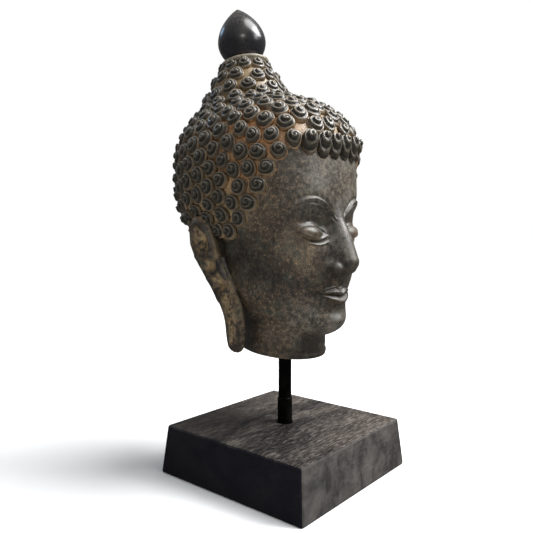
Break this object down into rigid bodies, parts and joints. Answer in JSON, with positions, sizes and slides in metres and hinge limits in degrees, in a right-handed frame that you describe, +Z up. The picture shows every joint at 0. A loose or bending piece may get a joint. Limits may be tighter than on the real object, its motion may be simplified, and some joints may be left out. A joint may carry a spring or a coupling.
{
  "type": "bronze buddha head on stand",
  "caption": "Cast bronze head of a Buddha with snail-shell curls, long ears and a lotus-bud finial, held on a steel rod over a dark wooden plinth.",
  "frame": {"origin": "centre of the plinth's underside, which stands on the ground; the rod's axis is the Z axis", "axes": "+Z up along the rod; the face looks along -Y; +X points to the head's own left"},
  "size_m": [0.1706, 0.199, 0.4567],
  "materials": {
    "bronze": null,
    "polished_bronze": null,
    "steel": "blackened, satin",
    "wood": "black-brown stain, satin, open grain"
  },
  "bodies": {
    "root": {"head": "bronze", "lotus_bud_finial": "polished_bronze", "steel_rod": "steel", "wooden_plinth": "wood"}
  },
  "joints": []
}
